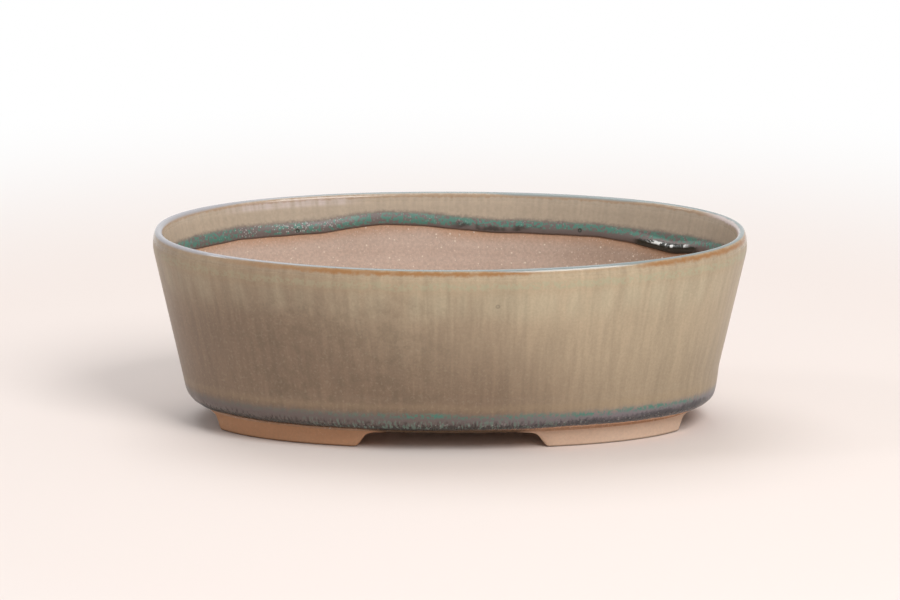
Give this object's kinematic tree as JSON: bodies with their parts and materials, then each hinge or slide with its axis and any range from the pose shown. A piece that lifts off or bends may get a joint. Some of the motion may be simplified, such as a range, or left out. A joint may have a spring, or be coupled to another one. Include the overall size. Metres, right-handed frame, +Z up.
{
  "type": "oval bonsai pot",
  "caption": "Oval stoneware bonsai pot with a leaning wall, round lip, drained floor, cut feet and a tan glaze that gathers in a dark roll above bare clay.",
  "frame": {"origin": "middle of the footprint, on the surface that the feet stand on", "axes": "+X along the length, +Y towards the back, +Z up"},
  "size_m": [0.24, 0.14, 0.079],
  "materials": {
    "bare_clay": "matt, fine grog",
    "foot_clay": "matt, toasted by the fire",
    "glaze": "satin"
  },
  "bodies": {
    "root": {"wall": "bare_clay", "floor_slab": "bare_clay", "seam_coil": "bare_clay", "foot_front_left": "foot_clay", "foot_front_right": "foot_clay", "foot_back_left": "foot_clay", "foot_back_right": "foot_clay", "glaze_coat": "glaze"}
  },
  "joints": []
}
